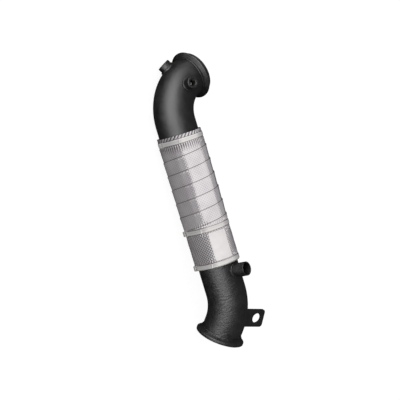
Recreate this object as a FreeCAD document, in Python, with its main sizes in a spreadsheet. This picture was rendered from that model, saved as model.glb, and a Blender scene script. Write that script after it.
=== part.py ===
"""Turbo downpipe, 3 inch, with a wrapped heat shield on its straight run.

All sizes are in millimetres and degrees. The pieces are laid out along the straight run first: X runs
along it from the outlet bend to the inlet bend, Y and Z are square to it, and a clock angle turns from
+Y towards +Z. The whole pipe is then laid down as it comes to rest on a floor: on the edge of its inlet
spigot, the rim of its outlet flange and its top band, with +Z up. The origin is the centre of the inlet
spigot's root.
"""
import FreeCAD, Part
import math
import os

import Sketcher
from FreeCAD import Placement, Rotation, Vector

SIZES = [
    ("tube_diameter", 76.2, "outside diameter of the 3 inch tube"),
    ("tube_wall", 1.65, "wall of the tube"),
    ("run_length", 330.0, "straight run between the two bends"),
    ("inlet_bend_radius", 76.2, "centreline radius of the bend below the turbo"),
    ("inlet_bend_angle", 77.5, "turn of the bend below the turbo"),
    ("inlet_bend_clock", 218.0, "clock angle that the inlet bend turns towards"),
    ("inlet_stub", 1.0, "straight end of the tube at the inlet"),
    ("outlet_bend_radius", 101.6, "centreline radius of the lower bend"),
    ("outlet_bend_angle", 37.6, "turn of the lower bend"),
    ("outlet_bend_clock", 346.4, "clock angle that the lower bend turns towards"),
    ("outlet_stub", 16.0, "straight end of the tube at the outlet"),
    ("lying_roll", -47.993, "turn about the run that lays the top band on the floor"),
    ("lying_pitch", 4.551, "lean of the run that lays both flanges on the floor"),
    ("flange_rim_rise", 8.9, "height of both flange rims above the tube"),
    ("flange_hub_rise", 2.4, "height above the tube of the collar that it is welded to"),
    ("flange_flank_length", 4.0, "length of the sloping flank behind the rim"),
    ("flange_hub_length", 1.5, "length of the collar before the flank"),
    ("rim_rounding", 1.6, "rounding of the rim's edges"),
    ("inlet_rim_width", 2.6, "flat width of the inlet flange's rim"),
    ("inlet_front_length", 2.6, "length of the slope in front of the inlet rim"),
    ("spigot_rise", 3.1, "height of the inlet spigot above the tube"),
    ("spigot_length", 6.6, "length of the inlet spigot"),
    ("spigot_lead", 0.9, "lead chamfer on the spigot"),
    ("outlet_rim_width", 4.6, "flat width of the outlet flange's rim"),
    ("outlet_front_length", 1.9, "length of the slope in front of the outlet rim"),
    ("outlet_face_rise", 5.9, "height above the tube of the outlet sealing face's edge"),
    ("recess_clearance", 0.2, "space round a mating spigot in the outlet's register"),
    ("recess_depth", 3.0, "depth of that register"),
    ("front_bung_diameter", 22.0, "outside diameter of the small sensor bung"),
    ("front_bung_bore", 12.5, "bore of its M14 thread"),
    ("front_bung_height", 15.5, "height of its face above the tube"),
    ("front_bung_station", 51.6, "angle along the inlet bend"),
    ("front_bung_clock", -84.3, "turn about the tube from the outside of the bend"),
    ("rear_bung_diameter", 25.7, "outside diameter of the large sensor bung"),
    ("rear_bung_bore", 16.4, "bore of its M18 thread"),
    ("rear_bung_height", 10.2, "height of its face above the tube"),
    ("rear_bung_station", 64.0, "angle along the inlet bend"),
    ("rear_bung_clock", 17.0, "turn about the tube from the outside of the bend"),
    ("bung_edge_chamfer", 0.7, "chamfer on the outside of a bung's face"),
    ("bung_mouth_chamfer", 0.8, "chamfer at the mouth of a bung's thread"),
    ("tube_hole_margin", 0.5, "step from a fitting's bore out to the relief at its foot and the tube's hole"),
    ("foot_relief", 0.5, "height above the tube of the relief at a fitting's foot"),
    ("port_diameter", 26.7, "outside diameter of the side port"),
    ("port_bore", 22.5, "bore of the side port"),
    ("port_height", 25.0, "height of the side port's end above the tube"),
    ("port_station", 34.0, "place along the run"),
    ("port_clock", 142.0, "clock angle of the side port"),
    ("port_chamfer", 0.5, "chamfer at the port's end"),
    ("bracket_edge", 7.75, "metal between the bracket's hole and its end"),
    ("bracket_width", 35.5, "width of the bracket along the tube"),
    ("bracket_thickness", 4.0, "thickness of the bracket"),
    ("bracket_corner", 6.0, "rounding of the bracket's outer corners"),
    ("bracket_hole", 19.5, "hole of the bracket"),
    ("bracket_hole_reach", 73.5, "centre of the hole from the tube's axis"),
    ("bracket_station", 30.4, "angle along the lower bend"),
    ("bracket_clock", 48.0, "turn about the tube from the outside of the bend"),
    ("weld_size", 2.6, "leg of a weld bead round a fitting"),
    ("flange_weld_size", 2.2, "leg of the weld bead behind a flange"),
    ("weld_rounding", 0.45, "rounding of a bead as a share of its leg"),
    ("blanket_thickness", 3.6, "insulation between the tube and the foil"),
    ("blanket_setback", 1.5, "step from the foil's end to the blanket's end"),
    ("foil_thickness", 0.9, "embossed foil, with its embossing"),
    ("foil_start", 52.3, "lower end of the foil along the run"),
    ("foil_joint", 125.5, "where the sleeve and the wrap meet, under the middle band"),
    ("foil_joint_gap", 0.4, "gap between the sleeve and the wrap"),
    ("foil_setback", 21.0, "bare tube between the foil's upper end and the inlet bend"),
    ("turn_pitch", 27.0, "advance of the wrap at each turn"),
    ("turn_step", 1.3, "height of a turn's raised edge"),
    ("turn_thin_edge", 0.15, "height of a turn's covered edge"),
    ("turn_gap", 0.3, "gap at each seam of the wrap"),
    ("turn_count", 8.0, "turns that are swept before the ends are trimmed"),
    ("turn_seam", 101.9, "place of the first seam at clock angle zero"),
    ("turn_root", 0.3, "depth that a turn is sunk into its backing"),
    ("shingle_clearance", 6.0, "space between the middle or top band's middle and the turns"),
    ("label_width_angle", 47.0, "angle that the blank label covers"),
    ("label_clock", 88.0, "clock angle of the label's left edge"),
    ("label_start", 64.0, "lower edge of the label along the run"),
    ("label_length", 54.0, "length of the label along the run"),
    ("label_thickness", 0.4, "thickness of the label"),
    ("label_corner", 2.5, "rounding of the label's corners"),
    ("top_band_setback", 11.0, "centre of the top band below the foil's upper end"),
    ("top_band_clock", 31.0, "clock angle of the top buckle"),
    ("middle_band_clock", 18.6, "clock angle of the middle buckle"),
    ("bottom_band_setback", 5.2, "centre of the bottom band above the foil's lower end"),
    ("bottom_band_clock", 20.8, "clock angle of the bottom buckle"),
    ("strap_width", 7.9, "width of a steel band"),
    ("strap_thickness", 0.6, "thickness of a steel band"),
    ("strap_clearance", 0.1, "space between a steel band and the foil below it"),
    ("tail_angle", 60.0, "angle that a band's tail covers past its buckle"),
    ("buckle_length", 9.6, "length of a buckle round the pipe"),
    ("buckle_wall", 0.8, "sheet that a buckle is folded from"),
    ("buckle_clearance", 0.1, "clearance between a buckle and the band in it"),
    ("buckle_rounding", 0.7, "outer rounding of a buckle's folds"),
    ("ball_diameter", 2.6, "locking ball in a buckle"),
    ("ball_clearance", 0.05, "clearance above a locking ball"),
]

doc = FreeCAD.newDocument("Downpipe")
sheet = doc.addObject("Spreadsheet::Sheet", "Sizes")
for row, (alias, value, meaning) in enumerate(SIZES, start=1):
    sheet.set("A%d" % row, meaning)
    sheet.set("B%d" % row, str(value))
    sheet.setAlias("B%d" % row, alias)
doc.recompute()


def size(alias):
    """Value of one cell of the sheet."""
    return float(sheet.get(alias))


# How near two lengths must be to count as the same one
SAME = 0.01

# Rough ring that a sketch starts from, before its formulas pull it true
ROUGH_MIDDLE = 60
ROUGH_RADIUS = 20

# Formulas that several pieces share
TUBE_RADIUS = "Sizes.tube_diameter / 2"
BORE_RADIUS = "Sizes.tube_diameter / 2 - Sizes.tube_wall"
BLANKET_RADIUS = "Sizes.tube_diameter / 2 + Sizes.blanket_thickness"
FOIL_RADIUS = "%s + Sizes.foil_thickness" % BLANKET_RADIUS
SEAT_RADIUS = "%s + Sizes.strap_clearance" % FOIL_RADIUS
STRAP_RADIUS = "%s + Sizes.strap_thickness" % SEAT_RADIUS
TAIL_RADIUS = "%s + Sizes.strap_thickness" % STRAP_RADIUS


# Directions and places along the tube


def across(clock):
    """Unit vector square to the run at a clock angle."""
    turn = math.radians(clock)
    return Vector(0, math.cos(turn), math.sin(turn))


def frame_at(point, z_direction, x_direction):
    """Placement at a point, with its own Z and X directions."""
    return Placement(point, Rotation(x_direction, Vector(), z_direction, "ZXY"))


class Bend:
    """A circular bend of the tube's centreline, followed away from the straight run."""

    def __init__(self, start, heading, inward, radius, angle, stub):
        self.start = start
        self.first_heading = heading
        self.inward = inward
        self.radius = radius
        self.angle = angle
        self.stub = stub

    def point(self, angle):
        turn = math.radians(angle)
        advance = self.first_heading * (self.radius * math.sin(turn))
        return self.start + advance + self.inward * (self.radius * (1 - math.cos(turn)))

    def heading(self, angle):
        turn = math.radians(angle)
        return self.first_heading * math.cos(turn) + self.inward * math.sin(turn)

    def outward(self, angle, clock):
        """Direction square to the tube, turned by the clock angle from the outside of the bend."""
        turn = math.radians(angle)
        spin = math.radians(clock)
        outside = self.first_heading * math.sin(turn) - self.inward * math.cos(turn)
        sideways = self.first_heading.cross(self.inward)
        return outside * math.cos(spin) + sideways * math.sin(spin)

    def end(self):
        return self.point(self.angle) + self.heading(self.angle) * self.stub

    def end_frame(self, facing):
        """Frame at the tube's end, its Z outward for facing 1 and back along the tube for -1."""
        return frame_at(self.end(), self.heading(self.angle) * facing, self.outward(self.angle, 0))


RUN = Vector(1, 0, 0)
inlet_bend = Bend(RUN * size("run_length"), RUN, across(size("inlet_bend_clock")),
                  size("inlet_bend_radius"), size("inlet_bend_angle"), size("inlet_stub"))
outlet_bend = Bend(Vector(), RUN * -1, across(size("outlet_bend_clock")),
                   size("outlet_bend_radius"), size("outlet_bend_angle"), size("outlet_stub"))


def run_frame(station, clock):
    """Frame on the run's axis, its Z along the run and its X at a clock angle."""
    return frame_at(RUN * station, RUN, across(clock))


def spigot_root_height():
    """Distance from the tube's end to the root of the inlet flange's spigot."""
    steps = ("flange_hub_length", "flange_flank_length", "inlet_rim_width", "inlet_front_length")
    return sum(size(step) for step in steps)


def lying_frame():
    """Placement that lays the pipe on the floor, with the spigot's root at the origin."""
    roll = Rotation(Vector(1, 0, 0), size("lying_roll"))
    pitch = Rotation(Vector(0, 1, 0), size("lying_pitch"))
    turn = pitch.multiply(roll)
    root = inlet_bend.end() + inlet_bend.heading(inlet_bend.angle) * spigot_root_height()
    return Placement(turn.multVec(root) * -1, turn)


LYING = lying_frame()
nodes = {}


def keep(name, piece, local=Placement()):
    """Name a finished sub-part and lay it down."""
    piece.Label = name
    piece.Placement = LYING.multiply(local)
    nodes[name] = piece


# Building blocks


def add(kind, name, **properties):
    """Add an object, bind the properties given as formulas and set the others."""
    item = doc.addObject(kind, name)
    for key, value in properties.items():
        if isinstance(value, str) and key not in ("Mode", "Type"):
            item.setExpression(key, value)
        else:
            setattr(item, key, value)
    return item


def origin_plane(body, role):
    """One of a body's own origin planes or axes."""
    return next(item for item in body.Origin.OriginFeatures if item.Role == role)


def outline(body, name, plane, corners, circles=()):
    """Sketch on one of a body's planes of a closed outline, with round holes inside it."""
    sketch = body.newObject("Sketcher::SketchObject", name)
    sketch.AttachmentSupport = (origin_plane(body, plane), "")
    sketch.MapMode = "FlatFace"
    draw_outline(sketch, corners, circles)
    return sketch


def draw_outline(sketch, corners, circles=()):
    """Closed outline with its corners given as formulas, which pull a rough ring true."""
    count = len(corners)
    middle = Vector(ROUGH_MIDDLE, ROUGH_MIDDLE, 0)
    spots = []
    for index in range(count):
        turn = 2 * math.pi * index / count
        spots.append(middle + Vector(math.cos(turn), math.sin(turn), 0) * ROUGH_RADIUS)
    for index in range(count):
        sketch.addGeometry(Part.LineSegment(spots[index], spots[(index + 1) % count]))
    for index in range(count):
        sketch.addConstraint(Sketcher.Constraint("Coincident", index, 2, (index + 1) % count, 1))
    for index, corner in enumerate(corners):
        bind(sketch, index, 1, corner)
    for centre_across, centre_up, radius in circles:
        circle = sketch.addGeometry(Part.Circle(middle, Vector(0, 0, 1), ROUGH_RADIUS / 4))
        bind(sketch, circle, 3, (centre_across, centre_up))
        rule = sketch.addConstraint(Sketcher.Constraint("Radius", circle, ROUGH_RADIUS / 4))
        sketch.setExpression("Constraints[%d]" % rule, radius)


def bind(sketch, geometry, point, formulas):
    """Tie a point of a sketch to the origin by two formulas."""
    for kind, formula in zip(("DistanceX", "DistanceY"), formulas):
        rule = sketch.addConstraint(Sketcher.Constraint(kind, -1, 1, geometry, point, ROUGH_RADIUS / 2))
        sketch.setExpression("Constraints[%d]" % rule, formula)


def new_body(name):
    return doc.addObject("PartDesign::Body", name)


def revolve(body, sketch, angle="360"):
    """Revolve a sketch about the body's Z axis."""
    turned = body.newObject("PartDesign::Revolution", sketch.Name + "Turned")
    turned.Profile = sketch
    turned.ReferenceAxis = (sketch, ["V_Axis"])
    turned.setExpression("Angle", angle)
    return turned


def pad(body, sketch, length):
    raised = body.newObject("PartDesign::Pad", sketch.Name + "Pad")
    raised.Profile = sketch
    raised.setExpression("Length", length)
    return raised


def fillet(body, base, edges, radius):
    """Round the named edges of a body's feature."""
    rounded = body.newObject("PartDesign::Fillet", base.Name + "Round")
    rounded.Base = (base, edges)
    rounded.setExpression("Radius", radius)
    return rounded


def rings(shape, radius, *heights):
    """Names of the round edges of one radius at the given heights."""
    found = []
    for number, edge in enumerate(shape.Edges, start=1):
        if edge.Curve.TypeId != "Part::GeomCircle" or abs(edge.Curve.Radius - radius) > SAME:
            continue
        if any(abs(edge.Curve.Center.z - height) < SAME for height in heights):
            found.append("Edge%d" % number)
    return found


def straight_edges(shape, direction, test):
    """Names of the straight edges along a direction whose middle passes a test."""
    found = []
    for number, edge in enumerate(shape.Edges, start=1):
        if edge.Curve.TypeId != "Part::GeomLine":
            continue
        if abs(abs(edge.Curve.Direction.dot(direction)) - 1) > 1e-6:
            continue
        if test(edge.valueAt((edge.FirstParameter + edge.LastParameter) / 2)):
            found.append("Edge%d" % number)
    return found


# The tube: one mandrel-bent piece, with holes below its fittings


def centreline():
    """Wire along the tube's axis, from the outlet's end to the inlet's end."""
    def arc(bend):
        return Part.Arc(bend.point(0), bend.point(bend.angle / 2), bend.point(bend.angle)).toShape()

    def stub(bend):
        return Part.LineSegment(bend.point(bend.angle), bend.end()).toShape()

    run = Part.LineSegment(outlet_bend.start, inlet_bend.start).toShape()
    edges = [stub(outlet_bend), arc(outlet_bend), run, arc(inlet_bend), stub(inlet_bend)]
    return Part.Wire(edges)


path = doc.addObject("Part::Feature", "TubeCentreline")
path.Shape = centreline()


def swept_tube(name, radius):
    """Solid rod along the whole centreline."""
    section = add("Part::Circle", name + "Section", Radius=radius)
    section.Placement = outlet_bend.end_frame(-1)
    rod = doc.addObject("Part::Sweep", name)
    rod.Sections = [section]
    rod.Spine = (path, ["Edge%d" % number for number in range(1, 6)])
    rod.Solid = True
    rod.Frenet = False
    return rod


outer_rod = swept_tube("TubeOutside", TUBE_RADIUS)
inner_rod = swept_tube("TubeInside", BORE_RADIUS)
bead_rod = swept_tube("BeadEnvelope", "%s + Sizes.weld_size" % TUBE_RADIUS)


def fitting_frame(bend, station, clock):
    """Frame on the bend's centreline, its Z out through the tube's wall and its X along the tube."""
    return frame_at(bend.point(station), bend.outward(station, clock), bend.heading(station))


front_bung_frame = fitting_frame(inlet_bend, size("front_bung_station"), size("front_bung_clock"))
rear_bung_frame = fitting_frame(inlet_bend, size("rear_bung_station"), size("rear_bung_clock"))
port_frame = frame_at(RUN * size("port_station"), across(size("port_clock")), RUN)


def drill(name, radius, place):
    """Round rod from the tube's axis out through its wall."""
    cutter = add("Part::Cylinder", name, Radius=radius, Height="Sizes.tube_diameter")
    cutter.Placement = place
    return cutter


tube_holes = [
    drill("FrontSensorHole", "Sizes.front_bung_bore / 2 + Sizes.tube_hole_margin", front_bung_frame),
    drill("RearSensorHole", "Sizes.rear_bung_bore / 2 + Sizes.tube_hole_margin", rear_bung_frame),
    drill("PortHole", "Sizes.port_bore / 2 + Sizes.tube_hole_margin", port_frame),
]
tube_cutters = doc.addObject("Part::MultiFuse", "TubeCutters")
tube_cutters.Shapes = [inner_rod] + tube_holes


def cut(name, base, tool):
    result = doc.addObject("Part::Cut", name)
    result.Base = base
    result.Tool = tool
    return result


keep("bent_tube", cut("BentTube", outer_rod, tube_cutters))


# The flanges: turned rings with a sloping flank behind the rim, butted to the tube's ends

HUB = "%s + Sizes.flange_hub_rise" % TUBE_RADIUS
RIM = "%s + Sizes.flange_rim_rise" % TUBE_RADIUS


def flange(name, corners, rim_heights):
    """Turned flange with its rim's edges rounded."""
    body = new_body(name)
    turned = revolve(body, outline(body, name + "Section", "XZ_Plane", corners))
    doc.recompute()
    edges = rings(turned.Shape, size("tube_diameter") / 2 + size("flange_rim_rise"), *rim_heights)
    fillet(body, turned, edges, "Sizes.rim_rounding")
    return body


flank_end = size("flange_hub_length") + size("flange_flank_length")
FLANK_END = "Sizes.flange_hub_length + Sizes.flange_flank_length"
INLET_RIM_END = "%s + Sizes.inlet_rim_width" % FLANK_END
SPIGOT_START = "%s + Sizes.inlet_front_length" % INLET_RIM_END
SPIGOT_END = "%s + Sizes.spigot_length" % SPIGOT_START
SPIGOT = "%s + Sizes.spigot_rise" % TUBE_RADIUS
RECESS = "%s + Sizes.recess_clearance" % SPIGOT
inlet_flange = flange("InletFlange", [
    (BORE_RADIUS, "0"),
    (HUB, "0"),
    (HUB, "Sizes.flange_hub_length"),
    (RIM, FLANK_END),
    (RIM, INLET_RIM_END),
    (SPIGOT, SPIGOT_START),
    (SPIGOT, "%s - Sizes.spigot_lead" % SPIGOT_END),
    ("%s - Sizes.spigot_lead" % SPIGOT, SPIGOT_END),
    (BORE_RADIUS, SPIGOT_END),
], (flank_end, flank_end + size("inlet_rim_width")))
keep("inlet_flange", inlet_flange, inlet_bend.end_frame(1))

OUTLET_RIM_END = "%s + Sizes.outlet_rim_width" % FLANK_END
OUTLET_FACE = "%s + Sizes.outlet_front_length" % OUTLET_RIM_END
outlet_flange = flange("OutletFlange", [
    (BORE_RADIUS, "0"),
    (HUB, "0"),
    (HUB, "Sizes.flange_hub_length"),
    (RIM, FLANK_END),
    (RIM, OUTLET_RIM_END),
    ("%s + Sizes.outlet_face_rise" % TUBE_RADIUS, OUTLET_FACE),
    (RECESS, OUTLET_FACE),
    (RECESS, "%s - Sizes.recess_depth" % OUTLET_FACE),
    (BORE_RADIUS, "%s - Sizes.recess_depth" % OUTLET_FACE),
], (flank_end, flank_end + size("outlet_rim_width")))
keep("outlet_flange", outlet_flange, outlet_bend.end_frame(1))


def flange_weld(name, bend):
    """Rounded bead in the corner between the tube and a flange's collar."""
    body = new_body(name + "Bead")
    inside = "%s - Sizes.tube_wall / 2" % TUBE_RADIUS
    outside = "%s + Sizes.flange_weld_size" % TUBE_RADIUS
    ring = outline(body, name + "Section", "XZ_Plane", [
        (inside, "0"),
        (outside, "0"),
        (outside, "Sizes.flange_weld_size"),
        (inside, "Sizes.flange_weld_size"),
    ])
    turned = revolve(body, ring)
    doc.recompute()
    radius = size("tube_diameter") / 2 + size("flange_weld_size")
    edges = rings(turned.Shape, radius, size("flange_weld_size"))
    fillet(body, turned, edges, "Sizes.flange_weld_size * Sizes.weld_rounding")
    body.Placement = bend.end_frame(-1)
    return cut(name, body, outer_rod)


keep("inlet_weld", flange_weld("InletWeld", inlet_bend))
keep("outlet_weld", flange_weld("OutletWeld", outlet_bend))


# The fittings: two sensor bungs and the side port, turned, then coped to the tube


def turned_fitting(name, outer, bore, height, edge, mouth, place):
    """Turned ring from the tube's axis out to its face, cut back to the tube's surface.

    Its bore is relieved at the foot, where it meets the hole in the tube.
    """
    body = new_body(name + "Turned")
    top = "%s + %s" % (TUBE_RADIUS, height)
    foot = "%s + Sizes.foot_relief" % TUBE_RADIUS
    section = outline(body, name + "Section", "XZ_Plane", [
        ("%s / 2 + Sizes.tube_hole_margin" % bore, "0"),
        ("%s / 2" % outer, "0"),
        ("%s / 2" % outer, "%s - %s" % (top, edge)),
        ("%s / 2 - %s" % (outer, edge), top),
        ("%s / 2 + %s" % (bore, mouth), top),
        ("%s / 2" % bore, "%s - %s" % (top, mouth)),
        ("%s / 2" % bore, foot),
        ("%s / 2 + Sizes.tube_hole_margin" % bore, foot),
    ])
    revolve(body, section)
    body.Placement = place
    return cut(name, body, outer_rod)


def coped_weld(name, cores, margin_shape):
    """Bead of one height that follows the tube round a fitting's foot.

    The margin shape is the fitting's outline grown by the weld's leg, and the cores are taken out of it.
    """
    slab = doc.addObject("Part::MultiCommon", name + "Slab")
    slab.Shapes = [bead_rod, margin_shape]
    inside = doc.addObject("Part::MultiFuse", name + "Inside")
    inside.Shapes = [outer_rod] + cores
    ring = cut(name + "Ring", slab, inside)
    doc.recompute()
    bead = doc.addObject("Part::Fillet", name)
    bead.Base = ring
    radius = size("weld_size") * size("weld_rounding")
    bead.Edges = [(number, radius, radius) for number in toe_edges(ring.Shape)]
    return bead


def toe_edges(shape):
    """Numbers of the edges between a bead's top, on the grown tube, and its outer side."""
    found = []
    for number, edge in enumerate(shape.Edges, start=1):
        faces = shape.ancestorsOfType(edge, Part.Face)
        tops = [face for face in faces if on_bead_top(face)]
        sides = [face for face in faces if face not in tops and on_outer_side(face, shape)]
        if tops and sides:
            found.append(number)
    return found


def on_bead_top(face):
    """True if a face lies on the tube grown by the weld's leg."""
    surface = face.Surface
    grown = size("tube_diameter") / 2 + size("weld_size")
    if surface.TypeId == "Part::GeomToroid":
        return abs(surface.MinorRadius - grown) < SAME
    return surface.TypeId == "Part::GeomCylinder" and abs(surface.Radius - grown) < SAME


def on_outer_side(face, shape):
    """True if a face looks away from the middle of the shape."""
    start, end, low, high = face.ParameterRange
    across_middle = (start + end) / 2
    along_middle = (low + high) / 2
    spot = face.valueAt(across_middle, along_middle)
    return face.normalAt(across_middle, along_middle).dot(spot - shape.BoundBox.Center) > 0


def round_margin(name, outer, place):
    return drill(name, "%s / 2 + Sizes.weld_size" % outer, place)


def round_core(name, outer, place):
    return drill(name, "%s / 2" % outer, place)


FITTINGS = [
    ("front_sensor_bung", "front_bung_weld", "FrontBung", "Sizes.front_bung_diameter", "Sizes.front_bung_bore",
     "Sizes.front_bung_height", "Sizes.bung_edge_chamfer", "Sizes.bung_mouth_chamfer", front_bung_frame),
    ("rear_sensor_bung", "rear_bung_weld", "RearBung", "Sizes.rear_bung_diameter", "Sizes.rear_bung_bore",
     "Sizes.rear_bung_height", "Sizes.bung_edge_chamfer", "Sizes.bung_mouth_chamfer", rear_bung_frame),
    ("side_port", "side_port_weld", "SidePort", "Sizes.port_diameter", "Sizes.port_bore",
     "Sizes.port_height", "Sizes.port_chamfer", "Sizes.port_chamfer", port_frame),
]
for node, weld_node, title, outer, bore, height, edge, mouth, place in FITTINGS:
    keep(node, turned_fitting(title, outer, bore, height, edge, mouth, place))
    margin = round_margin(title + "Margin", outer, place)
    core = round_core(title + "Core", outer, place)
    keep(weld_node, coped_weld(title + "Weld", [core], margin))


# The bracket: a flat plate on edge, coped to the lower bend


def bracket_frame(width, thickness):
    """Frame at one corner of a plate in the bracket's place, X out from the tube and Y along it."""
    station = size("bracket_station")
    outward = outlet_bend.outward(station, size("bracket_clock"))
    along = outlet_bend.heading(station)
    square = outward.cross(along)
    corner = outlet_bend.point(station) - along * (width / 2) - square * (thickness / 2)
    return frame_at(corner, square, outward)


BRACKET_REACH = "Sizes.bracket_hole_reach + Sizes.bracket_hole / 2 + Sizes.bracket_edge"
bracket_body = new_body("BracketPlate")
plate_sketch = outline(bracket_body, "BracketOutline", "XY_Plane", [
    ("Sizes.tube_diameter / 4", "0"),
    (BRACKET_REACH, "0"),
    (BRACKET_REACH, "Sizes.bracket_width"),
    ("Sizes.tube_diameter / 4", "Sizes.bracket_width"),
], [("Sizes.bracket_hole_reach", "Sizes.bracket_width / 2", "Sizes.bracket_hole / 2")])
plate = pad(bracket_body, plate_sketch, "Sizes.bracket_thickness")
doc.recompute()
outer_corners = straight_edges(plate.Shape, Vector(0, 0, 1), lambda spot: spot.x > size("bracket_hole_reach"))
fillet(bracket_body, plate, outer_corners, "Sizes.bracket_corner")
bracket_body.Placement = bracket_frame(size("bracket_width"), size("bracket_thickness"))
keep("mounting_bracket", cut("MountingBracket", bracket_body, outer_rod))


def plate_block(name, growth):
    """Block round the bracket's root, grown on each side."""
    return add("Part::Box", name, Length="Sizes.tube_diameter",
               Width="Sizes.bracket_width + 2 * %s" % growth,
               Height="Sizes.bracket_thickness + 2 * %s" % growth)


bracket_margin = plate_block("BracketMargin", "Sizes.weld_size")
bracket_margin.Placement = bracket_frame(size("bracket_width") + 2 * size("weld_size"),
                                         size("bracket_thickness") + 2 * size("weld_size"))
bracket_core = plate_block("BracketCore", "0")
bracket_core.Placement = bracket_frame(size("bracket_width"), size("bracket_thickness"))
keep("bracket_weld", coped_weld("BracketWeld", [bracket_core], bracket_margin))


# The heat shield: blanket, foil sleeve, spiral wrap and blank label

FOIL_END = "Sizes.run_length - Sizes.foil_setback"
foil_end = size("run_length") - size("foil_setback")
top_station = foil_end - size("top_band_setback")

def sleeve(name, inside, outside, start, end):
    """Plain round sleeve along the run."""
    body = new_body(name)
    section = outline(body, name + "Section", "XZ_Plane", [
        (inside, start),
        (outside, start),
        (outside, end),
        (inside, end),
    ])
    revolve(body, section)
    return body


blanket = sleeve("InsulationBlanket", TUBE_RADIUS, BLANKET_RADIUS,
                 "Sizes.foil_start + Sizes.blanket_setback", "%s - Sizes.blanket_setback" % FOIL_END)
keep("insulation_blanket", blanket, run_frame(0, 0))

lower_sleeve = sleeve("LowerFoilSleeve", BLANKET_RADIUS, FOIL_RADIUS,
                      "Sizes.foil_start", "Sizes.foil_joint - Sizes.foil_joint_gap / 2")
keep("lower_foil_sleeve", lower_sleeve, run_frame(0, 0))


def trim_block(name, span, low):
    """Block square to the run that takes away the turns past the wrap's end."""
    block = add("Part::Box", name, Length="2 * Sizes.tube_diameter", Width="2 * Sizes.tube_diameter",
                Height=span)
    block.Placement = Placement(Vector(-size("tube_diameter"), -size("tube_diameter"), low), Rotation())
    return block


def spiral_wrap():
    """Strip wound up the run: a turn's upper edge stands proud, and the next starts thin beside it."""
    backing = sleeve("WrapBacking", BLANKET_RADIUS, FOIL_RADIUS,
                     "Sizes.foil_joint + Sizes.foil_joint_gap / 2", FOIL_END)
    turn_path = add("Part::Helix", "TurnPath", Radius=FOIL_RADIUS, Pitch="Sizes.turn_pitch",
                    Height="Sizes.turn_pitch * Sizes.turn_count")
    turn_path.Placement = Placement(Vector(0, 0, size("turn_seam")), Rotation())
    doc.recompute()
    root = "%s - Sizes.turn_root" % FOIL_RADIUS
    upper = "Sizes.turn_seam + Sizes.turn_pitch - Sizes.turn_gap"
    section = doc.addObject("Sketcher::SketchObject", "TurnSection")
    section.Placement = Placement(Vector(), Rotation(Vector(1, 0, 0), 90))
    draw_outline(section, [
        (root, "Sizes.turn_seam"),
        ("%s + Sizes.turn_thin_edge" % FOIL_RADIUS, "Sizes.turn_seam"),
        ("%s + Sizes.turn_step" % FOIL_RADIUS, upper),
        (root, upper),
    ])
    turns = doc.addObject("Part::Sweep", "Turns")
    turns.Sections = [section]
    turns.Spine = (turn_path, ["Edge%d" % number for number in range(1, len(turn_path.Shape.Edges) + 1)])
    turns.Solid = True
    turns.Frenet = True
    span = size("turn_pitch") * size("turn_count") + size("run_length")
    lower_trim = trim_block("LowerTrim", span, size("foil_joint") + size("shingle_clearance") - span)
    upper_trim = trim_block("UpperTrim", span, top_station - size("shingle_clearance"))
    trimmed = cut("TrimmedTurns", cut("LowerTrimmedTurns", turns, lower_trim), upper_trim)
    wrap = doc.addObject("Part::Fuse", "UpperFoilWrap")
    wrap.Base = backing
    wrap.Tool = trimmed
    return wrap


keep("upper_foil_wrap", spiral_wrap(), run_frame(0, 0))


def blank_label():
    """Thin blank plate on the sleeve, with rounded corners."""
    body = new_body("BlankLabel")
    section = outline(body, "LabelSection", "XZ_Plane", [
        (FOIL_RADIUS, "0"),
        ("%s + Sizes.label_thickness" % FOIL_RADIUS, "0"),
        ("%s + Sizes.label_thickness" % FOIL_RADIUS, "Sizes.label_length"),
        (FOIL_RADIUS, "Sizes.label_length"),
    ])
    turned = revolve(body, section, "Sizes.label_width_angle")
    doc.recompute()
    corners = []
    for number, edge in enumerate(turned.Shape.Edges, start=1):
        if edge.Curve.TypeId == "Part::GeomLine" and abs(edge.Length - size("label_thickness")) < SAME:
            corners.append("Edge%d" % number)
    fillet(body, turned, corners, "Sizes.label_corner")
    return body


keep("blank_label", blank_label(), run_frame(size("label_start"), size("label_clock")))


# The bands: steel straps, each with a folded buckle and its locking ball


def strap(title):
    """Closed band with its tail laid over it past the buckle."""
    body = new_body(title + "Strap")
    corners = [
        (SEAT_RADIUS, "0"),
        (STRAP_RADIUS, "0"),
        (STRAP_RADIUS, "Sizes.strap_width"),
        (SEAT_RADIUS, "Sizes.strap_width"),
    ]
    revolve(body, outline(body, title + "Round", "XZ_Plane", corners))
    tail_corners = [
        (STRAP_RADIUS, "0"),
        (TAIL_RADIUS, "0"),
        (TAIL_RADIUS, "Sizes.strap_width"),
        (STRAP_RADIUS, "Sizes.strap_width"),
    ]
    revolve(body, outline(body, title + "Tail", "XZ_Plane", tail_corners), "Sizes.tail_angle")
    return body


INNER_WIDTH = "Sizes.strap_width + 2 * Sizes.buckle_clearance"
OUTER_WIDTH = "%s + 2 * Sizes.buckle_wall" % INNER_WIDTH
ROOF_INSIDE = "%s + Sizes.ball_diameter + Sizes.ball_clearance" % TAIL_RADIUS
ROOF_OUTSIDE = "%s + Sizes.buckle_wall" % ROOF_INSIDE


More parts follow.
